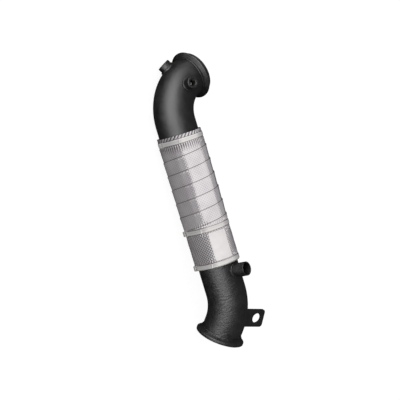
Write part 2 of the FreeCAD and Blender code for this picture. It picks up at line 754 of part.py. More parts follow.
def buckle(title, seat, place):
    """Channel folded from sheet, standing over the band with its walls cut to the foil."""
    body = new_body(title + "BuckleFold")
    channel = outline(body, title + "Channel", "XZ_Plane", [
        (BLANKET_RADIUS, "0"),
        (ROOF_OUTSIDE, "0"),
        (ROOF_OUTSIDE, OUTER_WIDTH),
        (BLANKET_RADIUS, OUTER_WIDTH),
        (BLANKET_RADIUS, "%s - Sizes.buckle_wall" % OUTER_WIDTH),
        (ROOF_INSIDE, "%s - Sizes.buckle_wall" % OUTER_WIDTH),
        (ROOF_INSIDE, "Sizes.buckle_wall"),
        (BLANKET_RADIUS, "Sizes.buckle_wall"),
    ])
    folded = pad(body, channel, "Sizes.buckle_length")
    doc.recompute()
    box = folded.Shape.BoundBox
    folds = straight_edges(folded.Shape, Vector(0, 1, 0), lambda spot: on_outer_fold(spot, box))
    fillet(body, folded, folds, "Sizes.buckle_rounding")
    body.Placement = place
    return cut(title + "Buckle", body, seat)


def on_outer_fold(spot, box):
    """True for a point on one of a channel's two outer folds."""
    on_roof = abs(spot.x - box.XMax) < SAME
    return on_roof and (abs(spot.z - box.ZMin) < SAME or abs(spot.z - box.ZMax) < SAME)


def band_frame(station, clock, width):
    """Frame at a band's lower edge, with its X at the buckle's middle."""
    return run_frame(station - width / 2, clock)


buckle_width = size("strap_width") + 2 * size("buckle_clearance") + 2 * size("buckle_wall")
half_buckle = Placement(Vector(0, size("buckle_length") / 2, 0), Rotation())
foil_seat = add("Part::Cylinder", "FoilSeat", Radius=FOIL_RADIUS, Height=FOIL_END)
foil_seat.Placement = run_frame(0, 0)
layers = ("blanket_thickness", "foil_thickness", "strap_clearance", "strap_thickness", "strap_thickness")
tail_radius = size("tube_diameter") / 2 + sum(size(layer) for layer in layers)
BANDS = [
    ("Top", "top_band", top_station),
    ("Middle", "middle_band", size("foil_joint")),
    ("Bottom", "bottom_band", size("foil_start") + size("bottom_band_setback")),
]
for title, prefix, station in BANDS:
    clock = size(prefix + "_clock")
    keep(prefix + "_strap", strap(title), band_frame(station, clock, size("strap_width")))
    buckle_place = band_frame(station, clock, buckle_width).multiply(half_buckle)
    keep(prefix + "_buckle", buckle(title, foil_seat, buckle_place))
    ball = add("Part::Sphere", title + "Ball", Radius="Sizes.ball_diameter / 2")
    ball_spot = RUN * station + across(clock) * (tail_radius + size("ball_diameter") / 2)
    keep(prefix + "_ball", ball, frame_at(ball_spot, RUN, across(clock)))

doc.recompute()

# Every object and every sub-part is checked before anything is written
for item in doc.Objects:
    if "Invalid" in item.State or "Error" in item.State:
        raise RuntimeError("%s did not build: %s" % (item.Label, item.State))
for name, piece in nodes.items():
    if piece.Shape.isNull() or not piece.Shape.isValid():
        raise RuntimeError("%s has no valid shape" % name)
    if len(piece.Shape.Solids) != 1:
        raise RuntimeError("%s has %d solids" % (name, len(piece.Shape.Solids)))

os.makedirs("parts", exist_ok=True)
for name, piece in nodes.items():
    piece.Shape.exportStep("parts/%s.step" % name)
    print("%-22s volume %10.1f mm3" % (name, piece.Shape.Volume))
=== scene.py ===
"""Dresses the turbo downpipe: embossed heat shield, steel bands, sensor threads, finishes and studio.

Sizes are in millimetres and degrees, but for the studio's, which are in metres. The pieces are shaped along the
straight run, which is the X axis with clock angles from +Y towards +Z, and are then laid down with the pipe.
"""

import logging
import math
from dataclasses import dataclass, field
from enum import Enum
from typing import Callable

import bpy
from mathutils import Matrix, Vector

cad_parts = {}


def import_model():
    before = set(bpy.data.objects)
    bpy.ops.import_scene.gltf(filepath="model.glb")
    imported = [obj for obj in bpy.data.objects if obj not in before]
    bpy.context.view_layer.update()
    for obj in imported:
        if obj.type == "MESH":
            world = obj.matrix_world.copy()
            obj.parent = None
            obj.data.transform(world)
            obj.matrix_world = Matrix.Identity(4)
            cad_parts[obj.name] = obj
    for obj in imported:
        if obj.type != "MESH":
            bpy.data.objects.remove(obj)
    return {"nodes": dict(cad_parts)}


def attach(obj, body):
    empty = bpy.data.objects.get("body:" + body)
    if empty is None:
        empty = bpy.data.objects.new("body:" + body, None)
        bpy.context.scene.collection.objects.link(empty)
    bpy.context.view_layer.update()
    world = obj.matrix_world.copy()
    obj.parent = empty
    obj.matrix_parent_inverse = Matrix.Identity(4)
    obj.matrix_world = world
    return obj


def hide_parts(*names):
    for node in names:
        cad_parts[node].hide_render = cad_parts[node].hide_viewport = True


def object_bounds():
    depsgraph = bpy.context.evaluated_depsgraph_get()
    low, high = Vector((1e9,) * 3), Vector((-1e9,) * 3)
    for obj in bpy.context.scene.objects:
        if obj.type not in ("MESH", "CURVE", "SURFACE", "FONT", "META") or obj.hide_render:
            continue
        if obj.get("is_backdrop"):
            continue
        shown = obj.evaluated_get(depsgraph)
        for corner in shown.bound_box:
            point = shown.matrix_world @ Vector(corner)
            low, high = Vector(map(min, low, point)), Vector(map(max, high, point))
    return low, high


LOG = logging.getLogger("downpipe")
MM = 0.001
BODY = "root"
WHITE = (1, 1, 1, 1)
# Millimetres within which vertices are merged
SCREW_MERGE = 0.002
SHELL_MERGE = 0.004
FOIL_MERGE = 0.01
CUT_MERGE = 0.001
# Noise factors between which nearly all of a noise lies
NOISE_SPREAD = (0.3, 0.7)

Pair = tuple[float, float]
Triple = tuple[float, float, float]
Piece = bpy.types.Object
Material = bpy.types.Material
Tree = bpy.types.NodeTree
Node = bpy.types.Node


class Slot(Enum):
    """Names of the finishes in the record for the pieces modelled here; this script does not use them. The CAD nodes
    that stay keep their own.
    """

    BAND = "band_steel"
    FOIL = "embossed_foil"


@dataclass(frozen=True)
class LyingPose:
    """How the pipe lies on the floor, from the frame of its straight run."""

    roll: float = -47.993
    pitch: float = 4.551
    run_start: Triple = (-406.62248, 70.05085, 19.98402)

    def matrix(self) -> Matrix:
        """Turn and shift that lay the run down, in metres."""
        turn = Matrix.Rotation(math.radians(self.pitch), 4, "Y") @ Matrix.Rotation(math.radians(self.roll), 4, "X")
        return Matrix.Translation(Vector(self.run_start) * MM) @ turn


@dataclass(frozen=True)
class FoilPattern:
    """Sizes that the foil's shape and its finish share."""

    bands: Triple = (298.0, 125.5, 57.5)
    pitch: float = 27.0
    seam: float = 101.9
    dimple: float = 5.6
    dimples_round: int = 48
    pleats: int = 60
    collar_folds: int = 36
    collar_slant: float = 8.5

    def from_band(self, along: float) -> float:
        """Millimetres from the middle of the nearest band."""
        return min(abs(along - station) for station in self.bands)


POSE = LyingPose()
PATTERN = FoilPattern()


# Modelling by hand: small steps that the pieces share


def deselect_all() -> None:
    """Leave nothing selected, in object mode."""
    if bpy.context.object and bpy.context.object.mode != "OBJECT":
        bpy.ops.object.mode_set(mode="OBJECT")
    bpy.ops.object.select_all(action="DESELECT")


def activate(obj: Piece) -> None:
    """Make one object the active one and the only one selected."""
    deselect_all()
    bpy.context.view_layer.objects.active = obj
    obj.select_set(True)


def edit(obj: Piece) -> None:
    """Open one object in edit mode."""
    activate(obj)
    bpy.ops.object.mode_set(mode="EDIT")


def done() -> None:
    """Go back to object mode."""
    bpy.ops.object.mode_set(mode="OBJECT")


def draw_profile(name: str, points: list[Triple], closed: bool) -> Piece:
    """Line of edges through the points, drawn by extruding one vertex.

    Args:
        name: Name of the new object.
        points: Places in the run's frame, in millimetres.
        closed: True to join the last point to the first.

    Returns:
        The object, in object mode.
    """
    deselect_all()
    bpy.ops.mesh.primitive_plane_add(size=MM)
    obj = bpy.context.object
    obj.name = obj.data.name = name
    edit(obj)
    bpy.ops.mesh.select_mode(type="VERT")
    bpy.ops.mesh.select_all(action="SELECT")
    bpy.ops.mesh.merge(type="CENTER")
    here = Vector(points[0])
    bpy.ops.transform.translate(value=here * MM)
    for point in points[1:]:
        step = Vector(point) - here
        bpy.ops.mesh.extrude_region_move(TRANSFORM_OT_translate={"value": step * MM})
        here = Vector(point)
    if closed:
        bpy.ops.mesh.select_all(action="DESELECT")
        done()
        for end in (0, len(points) - 1):
            obj.data.vertices[end].select = True
        edit(obj)
        bpy.ops.mesh.edge_face_add()
    done()
    return obj


def apply_modifier(obj: Piece, kind: str, **settings: object) -> None:
    """Add a modifier, set it and apply it.

    Args:
        obj: The object that it changes.
        kind: Blender's name for the modifier.
        settings: Its settings by name.
    """
    activate(obj)
    modifier = obj.modifiers.new(kind.title(), kind)
    for key, value in settings.items():
        setattr(modifier, key, value)
    bpy.ops.object.modifier_apply(modifier=modifier.name)


def turn_profile(obj: Piece, steps: int, degrees: float = 360, advance: float = 0, turns: int = 1) -> None:
    """Turn a profile about the run, as a ring, an arc or a screw.

    Args:
        obj: The profile.
        steps: Divisions of one turn.
        degrees: Angle of a turn.
        advance: Millimetres that it moves along the run in a turn.
        turns: How many turns.
    """
    apply_modifier(obj, "SCREW", axis="X", angle=math.radians(degrees), screw_offset=advance * MM,
                   iterations=turns, steps=steps, render_steps=steps, use_merge_vertices=True,
                   merge_threshold=SCREW_MERGE * MM, use_normal_calculate=True)


def move_vertices(obj: Piece, place: Callable[[Vector], Vector]) -> None:
    """Move each vertex to where a rule puts it.

    Args:
        obj: The object to shape.
        place: Gives a vertex its new place from its old one, in millimetres.
    """
    for vertex in obj.data.vertices:
        vertex.co = place(vertex.co / MM) * MM
    obj.data.update()


def merge_close(obj: Piece, reach: float) -> None:
    """Merge vertices that are closer than a reach in millimetres."""
    edit(obj)
    bpy.ops.mesh.select_all(action="SELECT")
    bpy.ops.mesh.remove_doubles(threshold=reach * MM)
    done()


def outward(obj: Piece) -> None:
    """Merge a closed shell's doubles and point its faces outwards."""
    edit(obj)
    bpy.ops.mesh.select_all(action="SELECT")
    bpy.ops.mesh.remove_doubles(threshold=SHELL_MERGE * MM)
    bpy.ops.mesh.normals_make_consistent(inside=False)
    done()


def select_rims() -> None:
    """Select the open edges of the object in edit mode."""
    bpy.ops.mesh.select_mode(type="EDGE")
    bpy.ops.mesh.select_all(action="DESELECT")
    bpy.ops.mesh.select_non_manifold(extend=False, use_wire=False, use_boundary=True,
                                     use_multi_face=False, use_non_contiguous=False, use_verts=False)


def fill_ends(obj: Piece) -> None:
    """Close the open ends of a swept piece."""
    edit(obj)
    select_rims()
    bpy.ops.mesh.fill()
    done()


def settle(obj: Piece, place: Matrix) -> None:
    """Put a piece where it belongs, in metres, and leave its object at the origin."""
    activate(obj)
    obj.matrix_world = place
    bpy.ops.object.transform_apply(location=True, rotation=True, scale=True)


def smooth(obj: Piece, degrees: float) -> None:
    """Shade smooth, and keep creases sharper than an angle."""
    activate(obj)
    bpy.ops.object.shade_smooth_by_angle(angle=math.radians(degrees))


def copy_of(obj: Piece, name: str) -> Piece:
    """Copy of a piece, with a mesh and a name of its own."""
    activate(obj)
    bpy.ops.object.duplicate(linked=False)
    copy = bpy.context.object
    copy.name = copy.data.name = name
    return copy


def dress(obj: Piece, material: Material, nodes: tuple[str, ...] = ()) -> None:
    """Give a piece its finish and its body, and hide the CAD nodes that it stands for.

    Args:
        obj: The finished piece.
        material: Its finish.
        nodes: CAD nodes that it replaces.
    """
    obj.data.materials.clear()
    obj.data.materials.append(material)
    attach(obj, BODY)
    if nodes:
        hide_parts(*nodes)
    LOG.info("%s: %d faces, for %s", obj.name, len(obj.data.polygons), nodes or "detail")


def clock_of(spot: Vector) -> float:
    """Clock angle of a place about the run, in degrees from 0 to 360."""
    return math.degrees(math.atan2(spot.z, spot.y)) % 360


def at_radius(spot: Vector, radius: float) -> Vector:
    """The place at another radius from the run's axis."""
    scale = radius / math.hypot(spot.y, spot.z)
    return Vector((spot.x, spot.y * scale, spot.z * scale))


def ease(value: float, low: float, high: float) -> float:
    """Smooth step from 0 at low to 1 at high."""
    share = min(max((value - low) / (high - low), 0), 1)
    return share * share * (3 - 2 * share)


def wave(angle: float) -> float:
    """Height of a row of folds: 0 on a crest, -1 in a trough."""
    return 0.5 * math.cos(angle) - 0.5


# Finishes: small steps that the materials share


def linear(code: str) -> tuple[float, float, float, float]:
    """Linear colour, with alpha, of an sRGB hex code."""
    channels = [int(code[place:place + 2], 16) / 255 for place in (0, 2, 4)]
    straight = [c / 12.92 if c <= 0.04045 else ((c + 0.055) / 1.055) ** 2.4 for c in channels]
    return (*straight, 1.0)


def add_node(tree: Tree, kind: str, *inputs: object, links: dict[str, object] | None = None,
             **settings: object) -> Node:
    """Add a node, set it, and link or fill its inputs.

    Args:
        tree: The node tree.
        kind: Blender's name for the node, without its "ShaderNode".
        inputs: A value, a socket or a node for each of the inputs that its settings leave on, in order.
        links: The same for inputs by name.
        settings: The node's own settings.

    Returns:
        The node. As an input of another node, it stands for its first output that is on.
    """
    node = tree.nodes.new("ShaderNode" + kind)
    for key, value in settings.items():
        setattr(node, key, value)
    shown = [socket for socket in node.inputs if socket.enabled]
    named = [(node.inputs[key], value) for key, value in (links or {}).items()]
    for socket, value in [*zip(shown, inputs), *named]:
        if isinstance(value, Node):
            value = next(output for output in value.outputs if output.enabled)
        if isinstance(value, bpy.types.NodeSocket):
            tree.links.new(value, socket)
        else:
            socket.default_value = value
    return node


def new_material(name: str) -> tuple[Material, Tree]:
    """An empty material and its tree."""
    material = bpy.data.materials.new(name)
    material.use_nodes = True
    material.node_tree.nodes.clear()
    return material, material.node_tree


def run_coordinates(tree: Tree) -> Node:
    """Object coordinates turned into the run's frame, in metres."""
    place = POSE.matrix()
    spot = add_node(tree, "TexCoord").outputs["Object"]
    return add_node(tree, "Mapping", spot, place.translation, place.to_euler(), vector_type="TEXTURE")


def run_and_clock(tree: Tree, where: Node) -> tuple[Node, Node]:
    """Place along the run in millimetres, and clock angle in radians, from coordinates in the run's frame."""
    parts = add_node(tree, "SeparateXYZ", where).outputs
    along = add_node(tree, "Math", parts["X"], MM, operation="DIVIDE")
    return along, add_node(tree, "Math", parts["Z"], parts["Y"], operation="ARCTAN2")


def stripes(tree: Tree, place: Node, scale: float) -> Node:
    """Even stripes from -1 to 1: the cosine of a place times a scale."""
    scaled = add_node(tree, "Math", place, scale, operation="MULTIPLY")
    return add_node(tree, "Math", scaled, operation="COSINE")


def two_tones(tree: Tree, pattern: Node, first: str, second: str) -> Node:
    """Colour that goes from one hex code to another as a noise pattern grows."""
    share = add_node(tree, "MapRange", pattern, *NOISE_SPREAD, 0, 1)
    return add_node(tree, "Mix", share, linear(first), linear(second), data_type="RGBA")


def surface(tree: Tree, links: dict[str, object]) -> None:
    """Principled shader with its inputs, joined to the output."""
    add_node(tree, "OutputMaterial", add_node(tree, "BsdfPrincipled", links=links))


@dataclass(frozen=True)
class Grain:
    """Grain of a noise: the size of its lumps in millimetres, and the finer layers on them."""

    size: float
    layers: int = 2
    layer_share: float = 0.55

    def inputs(self) -> tuple[float, int, float]:
        """The scale, detail and roughness that give a noise this grain."""
        return 1 / (self.size * MM), self.layers, self.layer_share


# The finishes


@dataclass(frozen=True)
class SatinCoating:
    """High temperature satin black paint, sprayed and baked: dusty grain, soft broad highlights."""

    dark: str = "070708"
    worn: str = "131314"
    # Real spray grain is near 0.2 mm; it is drawn at 3.4 mm so that it shows at this distance
    spray: Grain = Grain(3.4, 3)
    spray_depth: float = 0.8
    streak: Triple = (1.0, 0.36, 0.36)
    # The lower bend is sprayed more coarsely than the upper one: the grain fades between these two places
    coarse_end: Pair = (60.0, 130.0)
    spray_share: Pair = (0.95, 0.12)
    cloud: Grain = Grain(14.0)
    roughness: Pair = (0.44, 0.54)
    specular: float = 0.1

    def make(self) -> Material:
        """Build the finish."""
        material, tree = new_material("satin black coating")
        where = run_coordinates(tree)
        along, _ = run_and_clock(tree, where)
        streaked = add_node(tree, "VectorMath", where, self.streak, operation="MULTIPLY")
        spray = add_node(tree, "TexNoise", streaked, *self.spray.inputs())
        cloud = add_node(tree, "TexNoise", where, *self.cloud.inputs())
        share = add_node(tree, "MapRange", along, *self.coarse_end, *self.spray_share)
        surface(tree, {
            "Base Color": two_tones(tree, cloud, self.dark, self.worn),
            "Roughness": add_node(tree, "MapRange", cloud, *NOISE_SPREAD, *self.roughness),
            "Specular IOR Level": self.specular,
            "Normal": add_node(tree, "Bump", share, self.spray_depth * MM, links={"Height": spray}),
        })
        return material


@dataclass(frozen=True)
class RolledFoil:
    """Rolled aluminium foil: bright, faintly crinkled.

    Its finest embossing, under 0.5 mm, scatters light as a pale matt share beside the metal's mirror.
    """

    name: str = "plain label foil"
    bright: str = "f6f3f2"
    dull: str = "ece8e7"
    cloud: Grain = Grain(22.0)
    metal: float = 0.4
    crinkle: Grain = Grain(6.0)
    crinkle_depth: float = 0.1
    crinkle_share: float = 0.8
    roughness: Pair = (0.3, 0.42)

    def colour(self, tree: Tree, where: Node) -> Node:
        """Cloudy tone of the rolled metal."""
        return two_tones(tree, add_node(tree, "TexNoise", where, *self.cloud.inputs()), self.dull, self.bright)

    def make(self) -> Material:
        """Build the finish."""
        material, tree = new_material(self.name)
        where = run_coordinates(tree)
        folds = add_node(tree, "TexNoise", where, *self.crinkle.inputs())
        surface(tree, {
            "Base Color": self.colour(tree, where),
            "Metallic": self.metal,
            "Roughness": add_node(tree, "MapRange", folds, *NOISE_SPREAD, *self.roughness),
            "Normal": add_node(tree, "Bump", self.crinkle_share, self.crinkle_depth * MM, links={"Height": folds}),
        })
        return material


@dataclass(frozen=True)
class EmbossedFoil(RolledFoil):
    """Foil of the heat shield, with painted shade in its dimples and folds, along its seams and beside its bands.

    Each pattern is a cosine that follows the foil's own relief. Its edges are the two heights of that cosine
    between which the painted shade goes from full to none.
    """

    name: str = "embossed aluminium foil"
    bright: str = "f2eeef"
    dull: str = "e4dee1"
    metal: float = 0.6
    roughness: Pair = (0.1, 0.16)
    # Painted shade in the dimples, collar folds and pleats, and painted shade along the seams and beside the bands
    painted_hollow_shade: str = "6f696d"
    shade: str = "7b7372"
    dimple_edges: Pair = (-0.55, 0.35)
    dimple_share: Pair = (0.85, 0.26)
    collar_edges: Pair = (-0.6, 0.0)
    collar_start: Pair = (301.0, 302.0)
    pleat_edges: Pair = (-0.5, 0.3)
    pleat_share: float = 0.9
    pleat_reach: Pair = (11.0, 22.0)
    line_share: float = 0.75
    seam_edges: Pair = (0.014, 0.035)
    seams_start: Pair = (129.5, 132.5)
    patterns_end: Pair = (292.0, 294.0)
    band_edges: Pair = (4.6, 5.6)

    def dimples(self, tree: Tree, along: Node, clock: Node) -> Node:
        """Share of painted shade in the dimples, strongest on the sleeve."""
        across = stripes(tree, clock, PATTERN.dimples_round)
        lengthways = stripes(tree, along, 2 * math.pi / PATTERN.dimple)
        both = add_node(tree, "Math", across, lengthways, operation="MULTIPLY")
        hollows = add_node(tree, "MapRange", both, *self.dimple_edges, 1, 0)
        parting = PATTERN.bands[1]
        share = add_node(tree, "MapRange", along, parting, parting + 1, *self.dimple_share)
        return add_node(tree, "Math", hollows, share, operation="MULTIPLY")

    def collar(self, tree: Tree, along: Node, clock: Node) -> Node:
        """Share of painted shade in the slanting folds above the top band."""
        turned = add_node(tree, "Math", clock, PATTERN.collar_folds, operation="MULTIPLY")
        slant = add_node(tree, "Math", along, 2 * math.pi / PATTERN.collar_slant, operation="MULTIPLY")
        phase = add_node(tree, "Math", turned, slant, operation="SUBTRACT")
        folds = add_node(tree, "Math", phase, operation="COSINE")
        creases = add_node(tree, "MapRange", folds, *self.collar_edges, 1, 0)
        above = add_node(tree, "MapRange", along, *self.collar_start, 0, 1)
        return add_node(tree, "Math", creases, above, operation="MULTIPLY")

    def pleats(self, tree: Tree, along: Node, clock: Node) -> Node:
        """Share of painted shade in the gathered pleats below the top band."""
        gathers = add_node(tree, "MapRange", stripes(tree, clock, PATTERN.pleats), *self.pleat_edges, 1, 0)
        below = add_node(tree, "Math", PATTERN.bands[0], along, operation="SUBTRACT")
        share = add_node(tree, "MapRange", below, *self.pleat_reach, self.pleat_share, 0)
        return add_node(tree, "Math", gathers, share, operation="MULTIPLY")

    def seams(self, tree: Tree, along: Node, clock: Node) -> Node:
        """Share of shade in the line along the spiral seam."""
        above = add_node(tree, "Math", along, PATTERN.seam, operation="SUBTRACT")
        turns = add_node(tree, "Math", above, PATTERN.pitch, operation="DIVIDE")
        turned = add_node(tree, "Math", clock, 2 * math.pi, operation="DIVIDE")
        spiral = add_node(tree, "Math", turns, turned, operation="SUBTRACT")
        away = add_node(tree, "Math", spiral, 0.5, operation="PINGPONG")
        line = add_node(tree, "MapRange", away, *self.seam_edges, self.line_share, 0)
        on_wrap = add_node(tree, "MapRange", along, *self.seams_start, 0, 1)
        return add_node(tree, "Math", line, on_wrap, operation="MULTIPLY")

    def band_lines(self, tree: Tree, along: Node) -> Node:
        """Share of shade in the thin line on both sides of each band."""
        nearest = None
        for station in PATTERN.bands:
            offset = add_node(tree, "Math", along, station, operation="SUBTRACT")
            away = add_node(tree, "Math", offset, operation="ABSOLUTE")
            nearest = add_node(tree, "Math", nearest or away, away, operation="MINIMUM")
        return add_node(tree, "MapRange", nearest, *self.band_edges, self.line_share, 0)

    def colour(self, tree: Tree, where: Node) -> Node:
        """Cloudy tone with painted shade in the hollows, and lines of painted shade over it."""
        along, clock = run_and_clock(tree, where)
        below_collar = add_node(tree, "MapRange", along, *self.patterns_end, 1, 0)
        gathered = add_node(tree, "Math", self.pleats(tree, along, clock), below_collar, operation="MULTIPLY")
        tone = super().colour(tree, where)
        for share in (self.dimples(tree, along, clock), self.collar(tree, along, clock), gathered):
            tone = add_node(tree, "Mix", share, tone, linear(self.painted_hollow_shade), data_type="RGBA")
        seams = add_node(tree, "Math", self.seams(tree, along, clock), below_collar, operation="MULTIPLY")
        lines = add_node(tree, "Math", seams, self.band_lines(tree, along), operation="MAXIMUM")
        return add_node(tree, "Mix", lines, tone, linear(self.shade), data_type="RGBA")


@dataclass(frozen=True)
class BandSteel:
    """Cold rolled stainless strip: fine lines along the strip, bright, with soft end glints."""

    light: str = "f4f2f0"
    dark: str = "d6d3d0"
    # Real rolling lines are under 0.1 mm; they are drawn at 1.9 mm so that they show
    line: Grain = Grain(1.9, 4, 0.5)
    line_depth: float = 0.03
    line_share: float = 0.4
    # The lines scatter part of the light, so the strip isn't a pure mirror
    metal: float = 0.45
    roughness: Pair = (0.26, 0.38)

    def make(self) -> Material:
        """Build the finish."""
        material, tree = new_material("rolled stainless strip")
        along = add_node(tree, "SeparateXYZ", run_coordinates(tree)).outputs["X"]
        lines = add_node(tree, "TexNoise", along, *self.line.inputs(), noise_dimensions="1D")
        surface(tree, {
            "Base Color": two_tones(tree, lines, self.dark, self.light),
            "Metallic": self.metal,
            "Roughness": add_node(tree, "MapRange", lines, *NOISE_SPREAD, *self.roughness),
            "Normal": add_node(tree, "Bump", self.line_share, self.line_depth * MM, links={"Height": lines}),
        })
        return material


@dataclass(frozen=True)
class MachinedSteel:
    """Bare turned steel of a sensor thread: grey, glinting along its crests."""

    light: str = "5c5a58"
    dark: str = "2f2e2d"
    spot: Grain = Grain(1.5, 3)
    metal: float = 1.0
    roughness: float = 0.35

    def make(self) -> Material:
        """Build the finish."""
        material, tree = new_material("turned steel thread")
        spots = add_node(tree, "TexNoise", run_coordinates(tree), *self.spot.inputs())
        surface(tree, {
            "Base Color": two_tones(tree, spots, self.dark, self.light),
            "Metallic": self.metal,
            "Roughness": self.roughness,
        })
        return material


@dataclass(frozen=True)
class FibreBlanket:
    """Needled basalt and glass fibre mat: matt, felted, brown grey."""

    light: str = "8f877b"
    dark: str = "4e483f"
    fibre: Grain = Grain(1.2, 5)
    felt_depth: float = 0.6
    felt_share: float = 1.0
    roughness: float = 0.95

    def make(self) -> Material:
        """Build the finish."""
        material, tree = new_material("needled fibre mat")
        felt = add_node(tree, "TexNoise", run_coordinates(tree), *self.fibre.inputs())
        surface(tree, {
            "Base Color": two_tones(tree, felt, self.dark, self.light),
            "Roughness": self.roughness,
            "Normal": add_node(tree, "Bump", self.felt_share, self.felt_depth * MM, links={"Height": felt}),
        })
        return material


# The heat shield


@dataclass
class Shield:
    """Embossed foil shield of a lower sleeve and a spiral wrap, tied by three bands."""

    radius: float = 42.6
    inner_radius: float = 41.75
    sleeve_start: float = 52.3
    sleeve_end: float = 125.3
    wrap_start: float = 125.7
    wrap_end: float = 309.0
    step: float = 1.3
    thin_edge: float = 0.15
    seam_gap: float = 0.5
    seam_slope: float = 0.4
    turns_start: Pair = (130.5, 133.5)
    turns_end: Pair = (289.0, 293.0)
    hem: float = 2.6
    hem_rise: float = 0.35
    hem_slope: float = 0.8
    divisions: int = 336
    row: float = 0.84
    crease: float = 50.0
    dimple_depth: float = 0.6
    dimple_sink: float = 0.28
    wrap_share: float = 0.4
    share_change: float = 4.0
    swell: float = 0.22
    swell_waves: tuple[float, float, float, float] = (9.0, 13.0, 7.5, 17.0)
    pleat_depth: float = 0.8
    pleat_reach: float = 15.0
    pleat_sway: float = 0.4
    pleat_flattening: float = 0.75
    collar_depth: float = 0.9
    collar_rise: Pair = (3.0, 5.0)
    band_half: float = 5.4
    band_grip: Pair = (1.2, 1.6)
    band_sink: float = 0.12
    finish: EmbossedFoil = field(default_factory=EmbossedFoil)

    def under_band(self, along: float) -> float:
        """How far a place is tied down by a band: 1 under it, 0 away from it."""
        within, beyond = self.band_grip
        return 1 - ease(PATTERN.from_band(along), self.band_half - within, self.band_half + beyond)

    def pleat_share(self, along: float) -> float:
        """How strongly the foil is gathered at a place, beside a band."""
        gathered = 1 - ease(PATTERN.from_band(along), self.band_half, self.band_half + self.pleat_reach)
        return gathered * (1 - self.under_band(along))

    def dimple_share(self, along: float) -> float:
        """How deep the dimples are at a place: full on the sleeve and the collar, shallow on the wrap."""
        top = PATTERN.bands[0]
        on_wrap = ease(along, self.sleeve_end, self.wrap_start + self.share_change)
        on_wrap *= 1 - ease(along, top, top + self.share_change)
        return 1 - (1 - self.wrap_share) * on_wrap

    def relief(self, along: float, clock: float) -> float:
        """Height of the dimples, pleats and folds at a place.

        Args:
            along: Place along the run.
            clock: Clock angle.

        Returns:
            Height from the foil's outer radius, mostly below it.
        """
        turn = math.radians(clock)
        girth = turn * self.radius
        across = math.cos(PATTERN.dimples_round * turn)
        lengthways = math.cos(2 * math.pi * along / PATTERN.dimple)
        dimples = self.dimple_depth * self.dimple_share(along) * (across * lengthways * 0.5 - self.dimple_sink)
        first, second, third, fourth = self.swell_waves
        swell = self.swell * math.sin(girth / first + along / second) * math.sin(along / third - girth / fourth)
        pleats = self.pleat_depth * wave(PATTERN.pleats * turn + self.pleat_sway * math.sin(along))
        gathered = self.pleat_share(along)
        tied = self.under_band(along)
        loose = dimples * (1 - self.pleat_flattening * gathered) + swell + pleats * gathered
        collar = self.collar_depth * wave(PATTERN.collar_folds * turn - 2 * math.pi * along / PATTERN.collar_slant)
        low, high = self.collar_rise
        loose += (collar - loose) * ease(along, PATTERN.bands[0] + low, PATTERN.bands[0] + high)
        return loose * (1 - tied) - self.band_sink * tied

    def emboss_sleeve(self, spot: Vector) -> Vector:
        """Place of a vertex of the sleeve once it is embossed."""
        return at_radius(spot, self.radius + self.relief(spot.x, clock_of(spot)))

    def emboss_wrap(self, spot: Vector) -> Vector:
        """Place of a vertex of the wrap once it is embossed and its spiral steps run out at both ends."""
        height = math.hypot(spot.y, spot.z) - self.radius
        share = ease(spot.x, *self.turns_start) * (1 - ease(spot.x, *self.turns_end))
        return at_radius(spot, self.radius + height * share + self.relief(spot.x, clock_of(spot)))

    def turn_points(self, base: float) -> list[Triple]:
        """Profile of one turn: low at its covered edge, with a raised hem at its open edge.

        Args:
            base: Where the turn starts along the run.

        Returns:
            Triples at clock angle zero.
        """
        points = []
        end = PATTERN.pitch - self.seam_gap
        count = round(end / self.row)
        for number in range(count + 1):
            reach = end * number / count
            rise = self.thin_edge + (self.step - self.hem_rise - self.thin_edge) * reach / end
            rise += self.hem_rise * ease(reach, end - self.hem - self.hem_slope, end - self.hem)
            points.append((base + reach, self.radius + rise, 0))
        covered = self.radius + self.thin_edge
        points.append((base + (PATTERN.pitch - self.seam_gap * self.seam_slope), covered, 0))
        points.append((base + PATTERN.pitch, covered, 0))
        return points

    def close_ends(self, obj: Piece) -> None:
        """Turn both end edges of a foil inwards and join them by an inner wall."""
        edit(obj)
        select_rims()
        bpy.ops.mesh.extrude_edges_move()
        done()
        for vertex in obj.data.vertices:
            if vertex.select:
                vertex.co = at_radius(vertex.co / MM, self.inner_radius) * MM
        edit(obj)
        bpy.ops.mesh.bridge_edge_loops()
        done()
        outward(obj)

    def trim(self, obj: Piece, along: float, above: bool) -> None:
        """Cut a piece square to the run and drop what is above the cut, or what is below it."""
        edit(obj)
        bpy.ops.mesh.select_all(action="SELECT")
        bpy.ops.mesh.bisect(plane_co=(along * MM, 0, 0), plane_no=(1, 0, 0), clear_outer=above,
                            clear_inner=not above, threshold=CUT_MERGE * MM)
        done()

    def finish_foil(self, foil: Piece, emboss: Callable[[Vector], Vector], material: Material, node: str) -> None:
        """Emboss a plain foil, close it, lay it down and dress it.

        Args:
            foil: The foil's plain outer face.
            emboss: The rule that embosses it.
            material: The foil's finish.
            node: CAD node that it replaces.
        """
        move_vertices(foil, emboss)
        self.close_ends(foil)
        smooth(foil, self.crease)
        settle(foil, POSE.matrix())
        dress(foil, material, (node,))

    def build_wrap(self, material: Material) -> None:
        """The spiral wrap: one turn's profile screwed up the run, trimmed and embossed."""
        base = PATTERN.seam - PATTERN.pitch
        wrap = draw_profile("foil_wrap", self.turn_points(base), closed=False)
        turns = math.ceil((self.wrap_end - base) / PATTERN.pitch) + 1
        turn_profile(wrap, self.divisions, advance=PATTERN.pitch, turns=turns)
        merge_close(wrap, FOIL_MERGE)
        self.trim(wrap, self.wrap_start, above=False)
        self.trim(wrap, self.wrap_end, above=True)
        self.finish_foil(wrap, self.emboss_wrap, material, "upper_foil_wrap")

